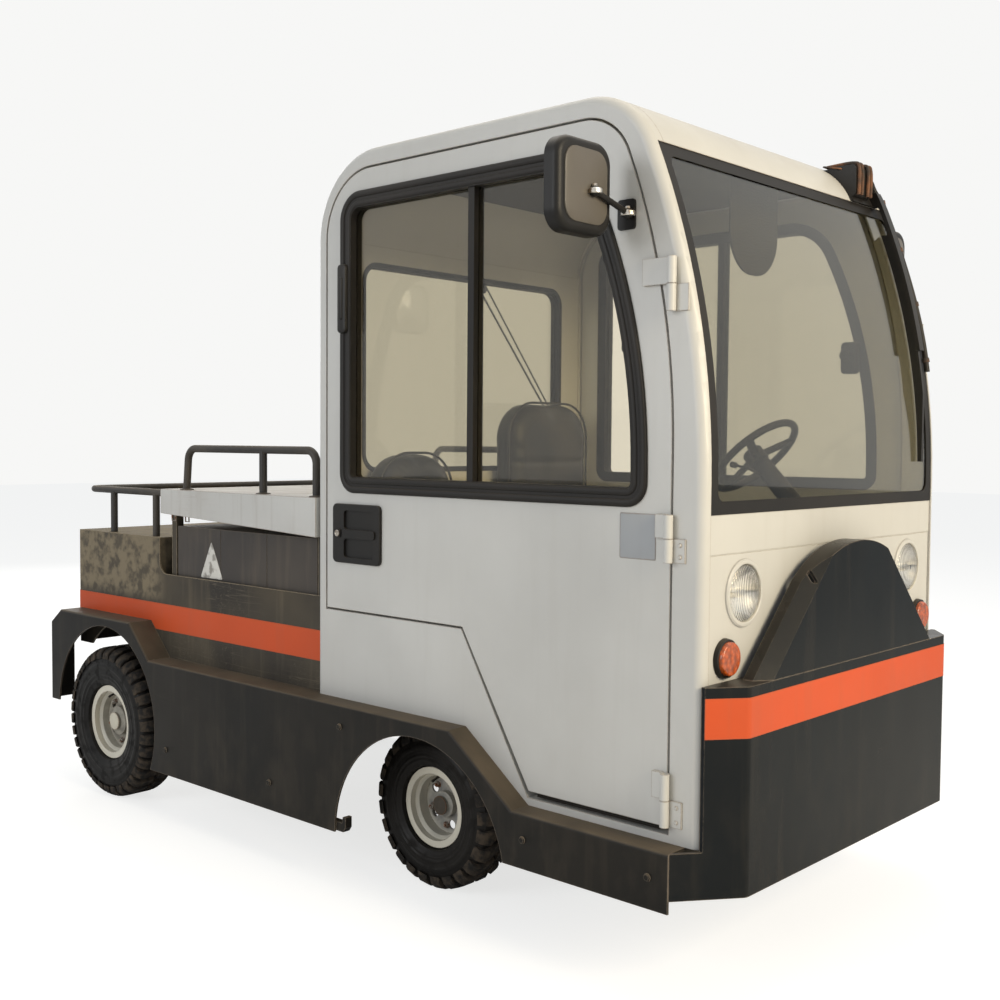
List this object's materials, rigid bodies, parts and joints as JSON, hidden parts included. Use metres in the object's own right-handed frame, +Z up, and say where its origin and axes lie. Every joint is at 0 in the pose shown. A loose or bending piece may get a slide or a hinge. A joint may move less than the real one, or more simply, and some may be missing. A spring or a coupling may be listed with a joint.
{
  "type": "airport baggage tug",
  "caption": "Electric baggage tow tractor with a closed two-seat cab, hinged doors, steered front wheels, side-hinged battery cover, rear deck rail and pin coupling.",
  "frame": {"origin": "on the ground under the middle of the bounding box of the whole tug", "axes": "+X forward, +Y to the driver's left, +Z up"},
  "size_m": [3.062, 1.742, 2.115],
  "materials": {
    "dark_paint": "satin",
    "light_paint": "satin",
    "orange_paint": "satin",
    "black_paint": "satin",
    "rubber": "matt",
    "tyre": "matt",
    "rim_paint": "satin",
    "glass": "clear",
    "lamp_glass": "clear",
    "amber": "gloss",
    "red": "gloss",
    "black_plastic": "matt",
    "seat_vinyl": "matt",
    "steel": "dull",
    "cast": "matt"
  },
  "bodies": {
    "chassis": {"frame": "black_paint", "skirts": "dark_paint", "bumper": "dark_paint", "stripes": "orange_paint", "apron": "dark_paint", "front_panel": "light_paint", "headlamps": "lamp_glass", "turn_signals": "amber", "cab_side_right": "light_paint", "cab_side_left": "light_paint", "roof": "light_paint", "cab_rear_wall": "light_paint", "cab_glass": "glass", "cab_rubber": "rubber", "cab_floor": "black_paint", "dash": "black_plastic", "seat_cushions": "seat_vinyl", "seat_backs": "seat_vinyl", "sun_visor": "black_plastic", "battery": "dark_paint", "rear_body": "dark_paint", "deck_rail": "black_paint", "tow_coupling": "cast", "tow_pin": "steel", "tail_lamps": "red", "front_axle": "black_paint", "rear_axle": "cast", "wipers": "black_plastic"},
    "door_right": {"door_right": "light_paint", "door_rubber_right": "rubber", "door_glass_right": "glass", "door_handle_right": "black_plastic", "mirror_right": "black_plastic"},
    "door_left": {"door_left": "light_paint", "door_rubber_left": "rubber", "door_glass_left": "glass", "door_handle_left": "black_plastic", "mirror_left": "black_plastic"},
    "cover": {"battery_cover": "light_paint", "cover_rails": "black_paint"},
    "knuckle_right": {"knuckle_right": "black_paint"},
    "knuckle_left": {"knuckle_left": "black_paint"},
    "tie_rod": {"tie_rod": "black_paint"},
    "wheel_front_right": {"rim_front_right": "rim_paint", "tyre_front_right": "tyre"},
    "wheel_front_left": {"rim_front_left": "rim_paint", "tyre_front_left": "tyre"},
    "wheel_rear_right": {"rim_rear_right": "rim_paint", "tyre_rear_right": "tyre"},
    "wheel_rear_left": {"rim_rear_left": "rim_paint", "tyre_rear_left": "tyre"},
    "steering_wheel": {"steering_wheel": "black_plastic"}
  },
  "joints": [
    {"name": "door_right_hinge", "type": "hinge", "parent": "chassis", "child": "door_right", "pos_m": [1.367, -0.628, 1.05], "axis": [0, 0, 1], "range_deg": [0, 80]},
    {"name": "door_left_hinge", "type": "hinge", "parent": "chassis", "child": "door_left", "pos_m": [1.367, 0.628, 1.05], "axis": [0, 0, -1], "range_deg": [0, 80]},
    {"name": "cover_hinge", "type": "hinge", "parent": "chassis", "child": "cover", "pos_m": [-0.33, 0.596, 1.01], "axis": [-1, 0, 0], "range_deg": [0, 70]},
    {"name": "steer_right", "type": "hinge", "parent": "chassis", "child": "knuckle_right", "pos_m": [0.47, -0.35, 0.235], "axis": [0, 0, 1], "range_deg": [-30, 30]},
    {"name": "steer_left", "type": "hinge", "parent": "chassis", "child": "knuckle_left", "pos_m": [0.47, 0.35, 0.235], "axis": [0, 0, 1], "range_deg": [-30, 30]},
    {"name": "tie_rod_pivot", "type": "hinge", "parent": "knuckle_right", "child": "tie_rod", "pos_m": [0.36, -0.35, 0.175], "axis": [0, 0, 1], "range_deg": [-30, 30]},
    {"name": "steering_turn", "type": "hinge", "parent": "chassis", "child": "steering_wheel", "pos_m": [1.025, 0.31, 1.25], "axis": [-0.6947, 0, 0.7193], "range_deg": [-450, 450]},
    {"name": "wheel_front_right_spin", "type": "hinge", "parent": "knuckle_right", "child": "wheel_front_right", "pos_m": [0.47, -0.445, 0.235], "axis": [0, 1, 0], "continuous": true},
    {"name": "wheel_rear_right_spin", "type": "hinge", "parent": "chassis", "child": "wheel_rear_right", "pos_m": [-1.03, -0.59, 0.27], "axis": [0, 1, 0], "continuous": true},
    {"name": "wheel_front_left_spin", "type": "hinge", "parent": "knuckle_left", "child": "wheel_front_left", "pos_m": [0.47, 0.445, 0.235], "axis": [0, 1, 0], "continuous": true},
    {"name": "wheel_rear_left_spin", "type": "hinge", "parent": "chassis", "child": "wheel_rear_left", "pos_m": [-1.03, 0.59, 0.27], "axis": [0, 1, 0], "continuous": true}
  ],
  "couplings": [
    {"joint": "steer_left", "follows": "steer_right", "ratio": 1},
    {"joint": "tie_rod_pivot", "follows": "steer_right", "ratio": -1},
    {"joint": "steering_turn", "follows": "steer_right", "ratio": 15}
  ]
}
